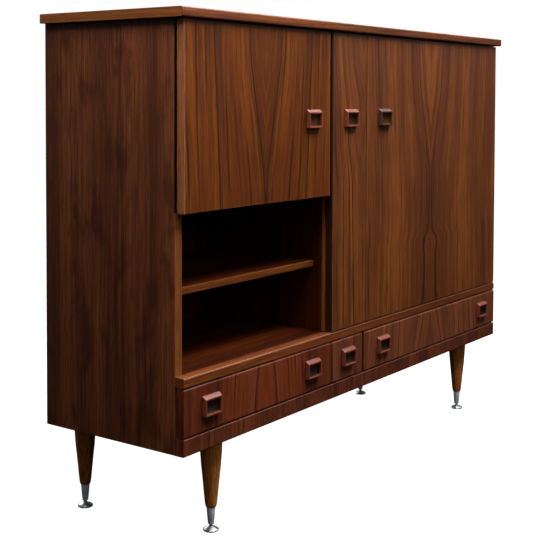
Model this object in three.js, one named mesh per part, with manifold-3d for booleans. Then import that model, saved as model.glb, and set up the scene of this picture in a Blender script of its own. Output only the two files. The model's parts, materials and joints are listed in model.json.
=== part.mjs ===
// A tall 1960s veneered cabinet: three overlay doors, an open bay with one shelf,
// three drawers under a waist rail, and four turned legs with levelling feet.
// Millimetres, +Z up, front towards -Y, origin on the floor under the middle.
import * as THREE from 'three';
import { mergeVertices } from 'three/addons/utils/BufferGeometryUtils.js';
import Module from 'manifold-3d';

const wasm = await Module();
wasm.setup();

// ---------------------------------------------------------------- driving dimensions

const BODY_W = 1600;              // across the two side panels
const LEFT = -BODY_W / 2;         // outer face of the left side
const RIGHT = BODY_W / 2;         // outer face of the right side
const BOARD = 24;                 // sides and partitions

const FRONT = -211.5;             // plane of the door and drawer faces
const BACK = 222.5;               // rear edge of the carcass
const FRONT_T = 20;               // doors and drawer fronts
const STAND_OFF = 6;              // shadow gap behind doors and drawer fronts
const CARCASS_FRONT = FRONT + FRONT_T + STAND_OFF;
const BACK_T = 5;                 // plywood back panels
const BACK_RECESS = 1.5;          // back panels in from the rear edge
const BACK_REBATE = 12;           // depth of the rebate the back sits in
const INNER_BACK = BACK - BACK_RECESS - BACK_T; // rear edge of everything inside the carcass

const BODY_Z = 224;               // underside of the sides, above the floor
const BASE_Z = [BODY_Z + 18, BODY_Z + 40];
const APRON_Z = [BODY_Z, BODY_Z + 39];
const DRAWER_Z = [BODY_Z + 42, BODY_Z + 150];
const WAIST_Z = [BODY_Z + 152, BODY_Z + 175];
const DOOR_Z = [BODY_Z + 178, BODY_Z + 961];
const UNDER_TOP = BODY_Z + 965;
const TOP_T = 22;
const TOP_SIDE_OVER = 17;         // top panel past each side
const TOP_FRONT_OVER = 10;        // top panel past the door faces

const CUPBOARD_FLOOR_Z = [BODY_Z + 536, BODY_Z + 556];
const LEFT_DOOR_Z = [BODY_Z + 537, DOOR_Z[1]];
const OPEN_SHELF_Z = [BODY_Z + 344, BODY_Z + 361];
const OPEN_SHELF_SETBACK = 36;    // open shelf behind the carcass front
const INNER_SHELF_T = 16;
const INNER_SHELF_SETBACK = 30;

// Left and right edges of each front, and of each upright board.
const LEFT_DOOR_X = [LEFT, -214.5];
const NARROW_DOOR_X = [-202, -32];
const WIDE_DOOR_X = [-29, RIGHT];
const UPPER_PARTITION_LEFT_X = [-198, -198 + BOARD];
const UPPER_PARTITION_RIGHT_X = [-42, -42 + BOARD];
const DRAWER_PARTITION_LEFT_X = [-213, -213 + BOARD];
const DRAWER_PARTITION_RIGHT_X = [-56, -56 + BOARD];
const DRAWER_LEFT_X = [LEFT, -203];
const DRAWER_NARROW_X = [-200, -50];
const DRAWER_WIDE_X = [-39, RIGHT];
const APRON_SEAM_X = -44;
const APRON_SEAM = 1.5;
const STOP_W = 24;                // lath the left door closes against
const STOP_T = 20;

// Handles: a hollow frame, wide at the door and narrower at its front rim.
const HANDLE_W = 61;
const HANDLE_H = 48;
const HANDLE_PROUD = 11;
const DOOR_HANDLE_Z = BODY_Z + 737;
const DRAWER_HANDLE_Z = BODY_Z + 99;
const ALIGNED_LEFT_X = -296;      // left door handle, and the drawer handle under it
const ALIGNED_RIGHT_X = 61;       // wide door handle, and the drawer handle under it

// Drawer boxes.
const BOX_SIDE_T = 12;
const BOX_CLEARANCE = 2;
const BOX_DEPTH = 380;
const BOX_TOP = DRAWER_Z[1] - 12;
const BOX_BOTTOM = BASE_Z[1] + 0.4;
const BOX_PANEL_T = 5;
const BOX_PANEL_LIFT = 8;         // groove above the lower edge of the box
const BOX_GROOVE = 6;
const FIT = 0.3;                  // clearance left round a cut

// Pivot hinges: an L-shaped plate with a pin that enters the edge of the door.
const PIVOT_INSET = 8;            // axis in from the hinged edge of the door
const PIVOT_Y = FRONT + FRONT_T / 2;
const PIN_R = 3;
const PIN_DEPTH = 14;
const PLATE_T = 2;
const PLATE_HALF_W = 7;
const PLATE_REACH = 44;           // arm of the plate past the side panel's front edge

// Legs, metal ferrules and levelling feet.
const LEG_END_Z = 56;
const FERRULE_END_Z = 16;
const FOOT_R = 19;
const FOOT_STEM_R = 4;
const LEG_POSITIONS = {
  front_left: [-637, -156],
  front_right: [642, -156],
  rear_left: [-702, 192],
  rear_right: [606, 190],
};

// ---------------------------------------------------------------- materials

const wood = (color, roughness = 0.5) => ({ color, roughness, metalness: 0 });
const TOP_WOOD = wood('#8f5a36');
const SIDE_WOOD = wood('#6b3f26');
const FRONT_WOOD = wood('#9c6238');
const LIPPED_WOOD = wood('#a5683e');
const INNER_WOOD = wood('#7a4b2d', 0.6);
const HANDLE_WOOD = wood('#a3573b', 0.42);
const LEG_WOOD = wood('#7d4327', 0.45);
const BOX_WOOD = wood('#c79f6c', 0.65);
const PLY = wood('#b08b5e', 0.7);
const BRASS = { color: '#b08d4f', roughness: 0.35, metalness: 0.9 };
const GREY_METAL = { color: '#8a8a8c', roughness: 0.35, metalness: 0.9 };
const CHROME = { color: '#d4d6d8', roughness: 0.12, metalness: 1 };

// ---------------------------------------------------------------- helpers

const group = new THREE.Group();

// Put a named mesh in the model.
function place(name, geometry, look) {
  const mesh = new THREE.Mesh(geometry, new THREE.MeshStandardMaterial(look));
  mesh.name = name;
  group.add(mesh);
}

// A rectangular board between two corners, given as [low, high] on each axis.
function board(x, y, z) {
  const geometry = new THREE.BoxGeometry(x[1] - x[0], y[1] - y[0], z[1] - z[0]);
  return geometry.translate((x[0] + x[1]) / 2, (y[0] + y[1]) / 2, (z[0] + z[1]) / 2);
}

// A closed outline as a shape; each corner is [u, v] or [u, v, radius].
function outline(corners) {
  const shape = new THREE.Shape();
  corners.forEach((corner, i) => {
    const [u, v, radius = 0] = corner;
    const here = new THREE.Vector2(u, v);
    const before = new THREE.Vector2(...corners.at(i - 1).slice(0, 2)).sub(here).setLength(radius);
    const after = new THREE.Vector2(...corners[(i + 1) % corners.length].slice(0, 2))
      .sub(here).setLength(radius);
    const start = here.clone().add(before);
    const end = here.clone().add(after);
    if (i === 0) shape.moveTo(start.x, start.y);
    else shape.lineTo(start.x, start.y);
    if (radius > 0) shape.quadraticCurveTo(here.x, here.y, end.x, end.y);
  });
  shape.closePath();
  return shape;
}

const CURVE_STEPS = 5;

// Extrude an XY outline upwards from z[0] to z[1].
function upright(corners, z) {
  const geometry = new THREE.ExtrudeGeometry(outline(corners), {
    depth: z[1] - z[0], bevelEnabled: false, curveSegments: CURVE_STEPS,
  });
  return geometry.translate(0, 0, z[0]);
}

// Extrude a YZ outline sideways from x[0] to x[1].
function lengthwise(corners, x) {
  const geometry = new THREE.ExtrudeGeometry(outline(corners), {
    depth: x[1] - x[0], bevelEnabled: false, curveSegments: CURVE_STEPS,
  });
  return geometry.rotateX(Math.PI / 2).rotateZ(Math.PI / 2).translate(x[0], 0, 0);
}

// Turn a profile of [radius, z] points about a vertical axis through (x, y).
function turned(profile, x, y, sides = 32) {
  const points = profile.map(([r, z]) => new THREE.Vector2(r, z));
  const geometry = new THREE.LatheGeometry(points, sides);
  return geometry.rotateX(Math.PI / 2).translate(x, y, 0);
}

// Turn a geometry into a solid for cutting and joining.
function solid(geometry) {
  const bare = geometry.clone();
  bare.deleteAttribute('normal');
  bare.deleteAttribute('uv');
  const merged = mergeVertices(bare, 1e-4);
  return new wasm.Manifold(new wasm.Mesh({
    numProp: 3,
    vertProperties: new Float32Array(merged.attributes.position.array),
    triVerts: new Uint32Array(merged.index.array),
  }));
}

// Turn a solid back into a geometry.
function surface(body) {
  const mesh = body.getMesh();
  const indexed = new THREE.BufferGeometry();
  indexed.setAttribute('position', new THREE.BufferAttribute(mesh.vertProperties, 3));
  indexed.setIndex(new THREE.BufferAttribute(mesh.triVerts, 1));
  const geometry = indexed.toNonIndexed();
  geometry.computeVertexNormals();
  return geometry;
}

// ---------------------------------------------------------------- carcass

const TOP_R = 4;
place('top_panel', lengthwise([
  [BACK, UNDER_TOP], [BACK, UNDER_TOP + TOP_T],
  [FRONT - TOP_FRONT_OVER, UNDER_TOP + TOP_T, TOP_R], [FRONT - TOP_FRONT_OVER, UNDER_TOP, TOP_R],
], [LEFT - TOP_SIDE_OVER, RIGHT + TOP_SIDE_OVER]), TOP_WOOD);

// Each side has a rebate along its rear inner edge for the back panels.
function sidePanel(outer, inwards) {
  const inner = outer + inwards * BOARD;
  const rebate = inner - inwards * BACK_REBATE;
  return upright([
    [outer, CARCASS_FRONT], [inner, CARCASS_FRONT], [inner, INNER_BACK],
    [rebate, INNER_BACK], [rebate, BACK], [outer, BACK],
  ], [BODY_Z, UNDER_TOP]);
}
place('side_left', sidePanel(LEFT, 1), SIDE_WOOD);
place('side_right', sidePanel(RIGHT, -1), SIDE_WOOD);

const INNER_X = [LEFT + BOARD, RIGHT - BOARD];
const INNER_Y = [CARCASS_FRONT, INNER_BACK];
const BACK_SEAM_X = (UPPER_PARTITION_LEFT_X[0] + UPPER_PARTITION_LEFT_X[1]) / 2;
const BACK_X = [INNER_X[0] - BACK_REBATE, INNER_X[1] + BACK_REBATE];

place('base_panel', board(INNER_X, INNER_Y, BASE_Z), INNER_WOOD);
place('waist_shelf', board(INNER_X, INNER_Y, WAIST_Z), INNER_WOOD);
const BACK_Y = [INNER_BACK, INNER_BACK + BACK_T];
const BACK_Z = [BASE_Z[0], UNDER_TOP];
place('back_left', board([BACK_X[0], BACK_SEAM_X], BACK_Y, BACK_Z), PLY);
place('back_right', board([BACK_SEAM_X, BACK_X[1]], BACK_Y, BACK_Z), PLY);

const UPPER_Z = [WAIST_Z[1], UNDER_TOP];
const LOWER_Z = [BASE_Z[1], WAIST_Z[0]];
place('upper_partition_left', board(UPPER_PARTITION_LEFT_X, INNER_Y, UPPER_Z), LIPPED_WOOD);
place('upper_partition_right', board(UPPER_PARTITION_RIGHT_X, INNER_Y, UPPER_Z), INNER_WOOD);
place('drawer_partition_left', board(DRAWER_PARTITION_LEFT_X, INNER_Y, LOWER_Z), INNER_WOOD);
place('drawer_partition_right', board(DRAWER_PARTITION_RIGHT_X, INNER_Y, LOWER_Z), INNER_WOOD);

const LEFT_BAY_X = [INNER_X[0], UPPER_PARTITION_LEFT_X[0]];
const NARROW_BAY_X = [UPPER_PARTITION_LEFT_X[1], UPPER_PARTITION_RIGHT_X[0]];
const WIDE_BAY_X = [UPPER_PARTITION_RIGHT_X[1], INNER_X[1]];
place('cupboard_floor', board(LEFT_BAY_X, INNER_Y, CUPBOARD_FLOOR_Z), INNER_WOOD);
place('open_shelf', lengthwise([
  [INNER_BACK, OPEN_SHELF_Z[0]], [INNER_BACK, OPEN_SHELF_Z[1]],
  [CARCASS_FRONT + OPEN_SHELF_SETBACK, OPEN_SHELF_Z[1], 2],
  [CARCASS_FRONT + OPEN_SHELF_SETBACK, OPEN_SHELF_Z[0], 2],
], LEFT_BAY_X), LIPPED_WOOD);
place('left_door_stop', board(
  [LEFT_BAY_X[1] - STOP_W, LEFT_BAY_X[1]],
  [CARCASS_FRONT, CARCASS_FRONT + STOP_T],
  [CUPBOARD_FLOOR_Z[1], UNDER_TOP],
), INNER_WOOD);

// Loose shelves in the closed cupboards.
function innerShelf(name, bay, z) {
  place(name, board(bay, [CARCASS_FRONT + INNER_SHELF_SETBACK, INNER_BACK - 4],
    [z, z + INNER_SHELF_T]), INNER_WOOD);
}
innerShelf('cupboard_shelf_left', LEFT_BAY_X, BODY_Z + 752);
innerShelf('cupboard_shelf_narrow', NARROW_BAY_X, BODY_Z + 552);
innerShelf('cupboard_shelf_wide', WIDE_BAY_X, BODY_Z + 552);

// The waist rail and the two apron boards stand in front of the carcass, level with the drawers.
place('waist_rail', lengthwise([
  [CARCASS_FRONT, WAIST_Z[0]], [CARCASS_FRONT, WAIST_Z[1]],
  [FRONT, WAIST_Z[1], 5], [FRONT, WAIST_Z[0], 3],
], [LEFT, RIGHT]), LIPPED_WOOD);
function apron(name, x) {
  place(name, lengthwise([
    [CARCASS_FRONT, APRON_Z[0]], [CARCASS_FRONT, APRON_Z[1]],
    [FRONT, APRON_Z[1], 3], [FRONT, APRON_Z[0], 3],
  ], x), FRONT_WOOD);
}
apron('apron_left', [LEFT, APRON_SEAM_X - APRON_SEAM / 2]);
apron('apron_right', [APRON_SEAM_X + APRON_SEAM / 2, RIGHT]);

// ---------------------------------------------------------------- handles

const RIM_SIDE_IN = 1.5;          // the frame narrows by this much at each side
const RIM_TOP_DOWN = 7;           // and by this much at the top
const RIM_BOTTOM_UP = 1.5;
const RIM_W = 4;                  // flat of the front rim at the top and sides
const RIM_BOTTOM_W = 4;
const FRAME_BACK_EDGE = 2;        // straight edge next to the door

// One rectangular loop of the frame, at a distance in front of the door.
function frameLoop(left, right, bottom, top, proud) {
  return [[left, -proud, bottom], [right, -proud, bottom], [right, -proud, top], [left, -proud, top]];
}

function handleFrame(x, z) {
  const w = HANDLE_W / 2;
  const h = HANDLE_H / 2;
  const rim = { x: w - RIM_SIDE_IN, top: h - RIM_TOP_DOWN, bottom: -h + RIM_BOTTOM_UP };
  const hole = { x: rim.x - RIM_W, top: rim.top - RIM_W, bottom: rim.bottom + RIM_BOTTOM_W };
  const loops = [
    frameLoop(-w, w, -h, h, 0),
    frameLoop(-w, w, -h, h, FRAME_BACK_EDGE),
    frameLoop(-rim.x, rim.x, rim.bottom, rim.top, HANDLE_PROUD),
    frameLoop(-hole.x, hole.x, hole.bottom, hole.top, HANDLE_PROUD),
    frameLoop(-hole.x, hole.x, hole.bottom, hole.top, 0),
  ];
  const positions = loops.flat().flat();
  const index = [];
  loops.forEach((_, a) => {
    const b = (a + 1) % loops.length;
    for (let i = 0; i < 4; i += 1) {
      const j = (i + 1) % 4;
      index.push(a * 4 + i, a * 4 + j, b * 4 + j, a * 4 + i, b * 4 + j, b * 4 + i);
    }
  });
  const indexed = new THREE.BufferGeometry();
  indexed.setAttribute('position', new THREE.Float32BufferAttribute(positions, 3));
  indexed.setIndex(index);
  const geometry = indexed.toNonIndexed();
  geometry.computeVertexNormals();
  return geometry.translate(x, FRONT, z);
}

// ---------------------------------------------------------------- doors and pivots

const DOOR_R = 4;

// A door with rounded front arrises and a pin hole in its top and bottom edges.
function door(name, x, z, pivotX) {
  const slab = upright([
    [x[0], FRONT, DOOR_R], [x[1], FRONT, DOOR_R],
    [x[1], FRONT + FRONT_T, 1], [x[0], FRONT + FRONT_T, 1],
  ], z);
  const holeDepth = PIN_DEPTH + 1;
  const drill = new THREE.CylinderGeometry(PIN_R + FIT, PIN_R + FIT, holeDepth + 1, 24);
  drill.rotateX(Math.PI / 2).translate(pivotX, PIVOT_Y, 0);
  let body = solid(slab);
  for (const end of [z[0] + (holeDepth - 1) / 2, z[1] - (holeDepth - 1) / 2]) {
    body = body.subtract(solid(drill.clone().translate(0, 0, end)));
  }
  place(name, surface(body), FRONT_WOOD);
}

// A pivot plate on a fixed surface. `into` points from the plate to the door (+1 up, -1 down);
// `inwards` points from the hinged edge to the middle of the door.
function pivot(name, pivotX, surfaceZ, into, inwards) {
  const outer = pivotX - inwards * PLATE_HALF_W;
  const inner = pivotX + inwards * PLATE_REACH;
  const neck = inner - inwards * 2 * PLATE_HALF_W;
  const corners = [
    [outer, PIVOT_Y - PLATE_HALF_W, 6], [inner, PIVOT_Y - PLATE_HALF_W, 3],
    [inner, CARCASS_FRONT + PLATE_REACH, 6], [neck, CARCASS_FRONT + PLATE_REACH, 6],
    [neck, PIVOT_Y + PLATE_HALF_W], [outer, PIVOT_Y + PLATE_HALF_W, 6],
  ];
  if (inwards < 0) corners.reverse();
  const plateZ = into > 0 ? [surfaceZ, surfaceZ + PLATE_T] : [surfaceZ - PLATE_T, surfaceZ];
  const gap = 3;
  const pinLength = gap + PIN_DEPTH - FIT;
  const pin = new THREE.CylinderGeometry(PIN_R, PIN_R, pinLength, 24).rotateX(Math.PI / 2);
  const overlap = 1;
  const pinZ = into > 0
    ? plateZ[1] - overlap + pinLength / 2
    : plateZ[0] + overlap - pinLength / 2;
  pin.translate(pivotX, PIVOT_Y, pinZ);
  place(name, surface(solid(upright(corners, plateZ)).add(solid(pin))), BRASS);
}

const LEFT_PIVOT_X = LEFT_DOOR_X[0] + PIVOT_INSET;
const NARROW_PIVOT_X = NARROW_DOOR_X[0] + PIVOT_INSET;
const WIDE_PIVOT_X = WIDE_DOOR_X[1] - PIVOT_INSET;
door('door_left', LEFT_DOOR_X, LEFT_DOOR_Z, LEFT_PIVOT_X);
door('door_narrow', NARROW_DOOR_X, DOOR_Z, NARROW_PIVOT_X);
door('door_wide', WIDE_DOOR_X, DOOR_Z, WIDE_PIVOT_X);
place('handle_door_left', handleFrame(ALIGNED_LEFT_X, DOOR_HANDLE_Z), HANDLE_WOOD);
place('handle_door_narrow',
  handleFrame((NARROW_DOOR_X[0] + NARROW_DOOR_X[1]) / 2, DOOR_HANDLE_Z), HANDLE_WOOD);
place('handle_door_wide', handleFrame(ALIGNED_RIGHT_X, DOOR_HANDLE_Z), HANDLE_WOOD);
pivot('pivot_left_top', LEFT_PIVOT_X, UNDER_TOP, -1, 1);
pivot('pivot_left_bottom', LEFT_PIVOT_X, CUPBOARD_FLOOR_Z[0] - PLATE_T, 1, 1);
pivot('pivot_narrow_top', NARROW_PIVOT_X, UNDER_TOP, -1, 1);
pivot('pivot_narrow_bottom', NARROW_PIVOT_X, WAIST_Z[1], 1, 1);
pivot('pivot_wide_top', WIDE_PIVOT_X, UNDER_TOP, -1, -1);
pivot('pivot_wide_bottom', WIDE_PIVOT_X, WAIST_Z[1], 1, -1);

// ---------------------------------------------------------------- drawers

// A drawer: overlay front, a four-sided box behind it, and a thin bottom held in a groove.
function drawer(name, frontX, bayX) {
  place(`drawer_${name}_front`, lengthwise([
    [FRONT + FRONT_T, DRAWER_Z[0], 1], [FRONT + FRONT_T, DRAWER_Z[1], 1],
    [FRONT, DRAWER_Z[1], 5], [FRONT, DRAWER_Z[0], 3],
  ], frontX), FRONT_WOOD);

  const x = [bayX[0] + BOX_CLEARANCE, bayX[1] - BOX_CLEARANCE];
  const y = [FRONT + FRONT_T, FRONT + FRONT_T + BOX_DEPTH];
  const insideX = [x[0] + BOX_SIDE_T, x[1] - BOX_SIDE_T];
  const insideY = [y[0] + BOX_SIDE_T, y[1] - BOX_SIDE_T];
  const panelZ = [BOX_BOTTOM + BOX_PANEL_LIFT, BOX_BOTTOM + BOX_PANEL_LIFT + BOX_PANEL_T];
  const grow = (range, by) => [range[0] - by, range[1] + by];
  const walls = solid(board(x, y, [BOX_BOTTOM, BOX_TOP]))
    .subtract(solid(board(insideX, insideY, [BOX_BOTTOM - 1, BOX_TOP + 1])))
    .subtract(solid(board(grow(insideX, BOX_GROOVE), grow(insideY, BOX_GROOVE), panelZ)));
  place(`drawer_${name}_box`, surface(walls), BOX_WOOD);
  place(`drawer_${name}_bottom`, board(
    grow(insideX, BOX_GROOVE), grow(insideY, BOX_GROOVE), panelZ,
  ), PLY);
}

drawer('left', DRAWER_LEFT_X, [INNER_X[0], DRAWER_PARTITION_LEFT_X[0]]);
drawer('narrow', DRAWER_NARROW_X, [DRAWER_PARTITION_LEFT_X[1], DRAWER_PARTITION_RIGHT_X[0]]);
drawer('wide', DRAWER_WIDE_X, [DRAWER_PARTITION_RIGHT_X[1], INNER_X[1]]);

const DRAWER_HANDLES = {
  handle_drawer_left_outer: LEFT + 93,
  handle_drawer_left_inner: ALIGNED_LEFT_X,
  handle_drawer_narrow: (DRAWER_NARROW_X[0] + DRAWER_NARROW_X[1]) / 2,
  handle_drawer_wide_inner: ALIGNED_RIGHT_X,
  handle_drawer_wide_outer: RIGHT - 101,
};
for (const [name, x] of Object.entries(DRAWER_HANDLES)) {
  place(name, handleFrame(x, DRAWER_HANDLE_Z), HANDLE_WOOD);
}

// ---------------------------------------------------------------- legs

// Turned wooden leg, tapering to a rounded lower end.
const LEG_PROFILE = [
  [0, LEG_END_Z], [10.5, LEG_END_Z], [12.6, LEG_END_Z + 1.5], [13.8, LEG_END_Z + 6],
  [15.2, LEG_END_Z + 16], [18.2, 104], [20.8, 130], [23.4, 154], [25.8, 186], [27.4, BODY_Z],
  [28, BASE_Z[0]], [0, BASE_Z[0]],
];
// Tapered metal ferrule with a blind bore for the foot's stem.
const FERRULE_PROFILE = [
  [0, LEG_END_Z - 6], [FOOT_STEM_R + FIT, LEG_END_Z - 6], [FOOT_STEM_R + FIT, FERRULE_END_Z],
  [7.2, FERRULE_END_Z], [9.2, 36], [10.8, LEG_END_Z], [0, LEG_END_Z],
];
// Levelling foot: a round stem rising from a domed disc.
const FOOT_PROFILE = [
  [0, 0], [FOOT_R - 1.7, 0], [FOOT_R, 1.6], [FOOT_R, 3.6], [FOOT_R - 4, 6.4], [10, 8.6],
  [6, 10.6], [FOOT_STEM_R, 11.4], [FOOT_STEM_R, LEG_END_Z - 12], [0, LEG_END_Z - 12],
];
for (const [corner, [x, y]] of Object.entries(LEG_POSITIONS)) {
  place(`leg_${corner}`, turned(LEG_PROFILE, x, y), LEG_WOOD);
  place(`ferrule_${corner}`, turned(FERRULE_PROFILE, x, y), GREY_METAL);
  place(`foot_${corner}`, turned(FOOT_PROFILE, x, y), CHROME);
}

export default group;
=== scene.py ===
"""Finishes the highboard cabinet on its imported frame: camera, light, woods, metals and fittings.

Everything is in metres, in the CAD frame: X to the right, the front towards -Y, Z up.
"""
import json
import math

import bmesh
import bpy
from mathutils import Matrix, Vector


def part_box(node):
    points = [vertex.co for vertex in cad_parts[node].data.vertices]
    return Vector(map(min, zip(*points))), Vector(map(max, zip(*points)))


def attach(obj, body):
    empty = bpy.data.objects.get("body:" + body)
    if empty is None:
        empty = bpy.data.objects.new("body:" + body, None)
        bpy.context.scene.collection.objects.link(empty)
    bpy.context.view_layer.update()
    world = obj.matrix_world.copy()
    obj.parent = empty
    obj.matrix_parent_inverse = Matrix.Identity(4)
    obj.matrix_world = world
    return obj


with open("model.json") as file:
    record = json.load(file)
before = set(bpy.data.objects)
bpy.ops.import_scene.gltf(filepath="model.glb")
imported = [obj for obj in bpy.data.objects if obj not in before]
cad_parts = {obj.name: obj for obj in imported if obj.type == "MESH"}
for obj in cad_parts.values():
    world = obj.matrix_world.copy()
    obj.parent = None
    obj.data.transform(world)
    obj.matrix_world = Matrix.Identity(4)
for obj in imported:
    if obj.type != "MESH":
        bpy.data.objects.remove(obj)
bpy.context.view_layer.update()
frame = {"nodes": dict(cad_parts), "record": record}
NODES = frame["nodes"]
BODIES = frame["record"]["behaviour"]["bodies"]

MM = 0.001

# -------------------- camera

CAMERA_PLACE = Vector((-2.6329, -1.7697, 1.0127))
CAMERA_AZIMUTH = math.radians(-54.08)      # to the left of the cabinet's front
CAMERA_DROP = math.radians(2.168)          # looking slightly down
CAMERA_ROLL = math.radians(0.169)
LENS_MM = 73.82
SENSOR_MM = 36.0
LENS_SHIFT = -0.24                         # takes in the legs without tilting the uprights


def make_camera():
    """The photograph's viewing angle."""
    forward = Vector((
        -math.sin(CAMERA_AZIMUTH) * math.cos(CAMERA_DROP),
        math.cos(CAMERA_AZIMUTH) * math.cos(CAMERA_DROP),
        -math.sin(CAMERA_DROP),
    ))
    level_right = forward.cross(Vector((0, 0, 1))).normalized()
    level_up = level_right.cross(forward)
    right = level_right * math.cos(CAMERA_ROLL) + level_up * math.sin(CAMERA_ROLL)
    up = right.cross(forward)
    turn = Matrix((right, up, -forward)).transposed()
    data = bpy.data.cameras.new("camera")
    data.lens = LENS_MM
    data.sensor_width = SENSOR_MM
    data.shift_y = LENS_SHIFT
    camera = bpy.data.objects.new("camera", data)
    camera.matrix_world = Matrix.Translation(CAMERA_PLACE) @ turn.to_4x4()
    bpy.context.scene.collection.objects.link(camera)
    bpy.context.scene.camera = camera


make_camera()

# -------------------- light and floor

LIGHTS = {                      # place, the point it faces, width and height, and watts
    "ceiling_light": ((0.75, -1.10, 3.4), (0.1, -0.3, 0.6), (3.2, 0.8), 190),
    "key_light": ((5.8, -3.8, 7.0), (0, 0, 0.7), (4.0, 3.0), 120),
    "front_fill": ((-1.4, -6.5, 3.4), (0, 0, 0.7), (3.0, 2.0), 30),
    "pale_wall": ((7.0, -2.9, 3.5), (0, 0, 1.1), (4.6, 2.4), 18),
    "left_fill": ((-1.25, -0.42, 2.05), (-0.8, -0.3, 1.0), (0.8, 0.9), 21),
    "back_fill": ((1.5, 5.5, 3.4), (0, 0, 0.6), (3.0, 2.0), 160),
}
BACKGROUND = 1.0                # what the camera sees behind the cabinet
SKY_ABOVE = 0.13                # what lights the cabinet from above the horizon
SKY_BELOW = 0.004               # and from below it
HORIZON = (-0.06, 0.16)         # height on the unit sphere where one fades into the other


def area_light(name, place, aim, size, power):
    """A rectangular light that the camera does not see."""
    data = bpy.data.lights.new(name, "AREA")
    data.shape = "RECTANGLE"
    data.size, data.size_y = size
    data.energy = power
    light = bpy.data.objects.new(name, data)
    light.location = place
    towards = Vector(aim) - Vector(place)
    light.rotation_mode = "QUATERNION"
    light.rotation_quaternion = towards.to_track_quat("-Z", "Y")
    light.visible_camera = False
    bpy.context.scene.collection.objects.link(light)


def make_world():
    """A white background for the camera, and a dim sky that lights the cabinet."""
    world = bpy.data.worlds.new("room")
    world.use_nodes = True
    bpy.context.scene.world = world
    nodes, links = world.node_tree.nodes, world.node_tree.links
    nodes.clear()
    output = nodes.new("ShaderNodeOutputWorld")
    seen = nodes.new("ShaderNodeBackground")
    seen.inputs["Color"].default_value = (1, 1, 1, 1)
    seen.inputs["Strength"].default_value = BACKGROUND
    lighting = nodes.new("ShaderNodeBackground")
    lighting.inputs["Strength"].default_value = 1.0
    place = nodes.new("ShaderNodeTexCoord")
    parts = nodes.new("ShaderNodeSeparateXYZ")
    fade = nodes.new("ShaderNodeMapRange")
    fade.inputs["From Min"].default_value, fade.inputs["From Max"].default_value = HORIZON
    fade.inputs["To Min"].default_value = SKY_BELOW
    fade.inputs["To Max"].default_value = SKY_ABOVE
    path = nodes.new("ShaderNodeLightPath")
    choose = nodes.new("ShaderNodeMixShader")
    links.new(place.outputs["Generated"], parts.inputs[0])
    links.new(parts.outputs["Z"], fade.inputs["Value"])
    links.new(fade.outputs["Result"], lighting.inputs["Color"])
    links.new(path.outputs["Is Camera Ray"], choose.inputs[0])
    links.new(lighting.outputs[0], choose.inputs[1])
    links.new(seen.outputs[0], choose.inputs[2])
    links.new(choose.outputs[0], output.inputs[0])


FLOOR_HALF = 30.0               # metres
FLOOR_GLOW = 1.0                # keeps the floor white in the cabinet's shadow
FLOOR_WHITE = 0.30


def make_floor():
    """A white floor that the camera sees, but that neither lights the cabinet nor mirrors in it."""
    mesh = bpy.data.meshes.new("floor")
    corners = [(-FLOOR_HALF, -FLOOR_HALF, 0), (FLOOR_HALF, -FLOOR_HALF, 0),
               (FLOOR_HALF, FLOOR_HALF, 0), (-FLOOR_HALF, FLOOR_HALF, 0)]
    mesh.from_pydata(corners, [], [(0, 1, 2, 3)])
    floor = bpy.data.objects.new("floor", mesh)
    bpy.context.scene.collection.objects.link(floor)
    material = bpy.data.materials.new("pale_floor")
    material.use_nodes = True
    shader = material.node_tree.nodes["Principled BSDF"]
    shader.inputs["Base Color"].default_value = (FLOOR_WHITE, FLOOR_WHITE, FLOOR_WHITE, 1)
    shader.inputs["Roughness"].default_value = 0.9
    shader.inputs["Specular IOR Level"].default_value = 0.0
    shader.inputs["Emission Color"].default_value = (1, 1, 1, 1)
    shader.inputs["Emission Strength"].default_value = FLOOR_GLOW
    mesh.materials.append(material)
    floor.visible_diffuse = False
    floor.visible_glossy = False


for light_name, light_settings in LIGHTS.items():
    area_light(light_name, *light_settings)
make_world()
make_floor()
bpy.context.scene.view_settings.view_transform = "Standard"

# -------------------- node helpers


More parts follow.
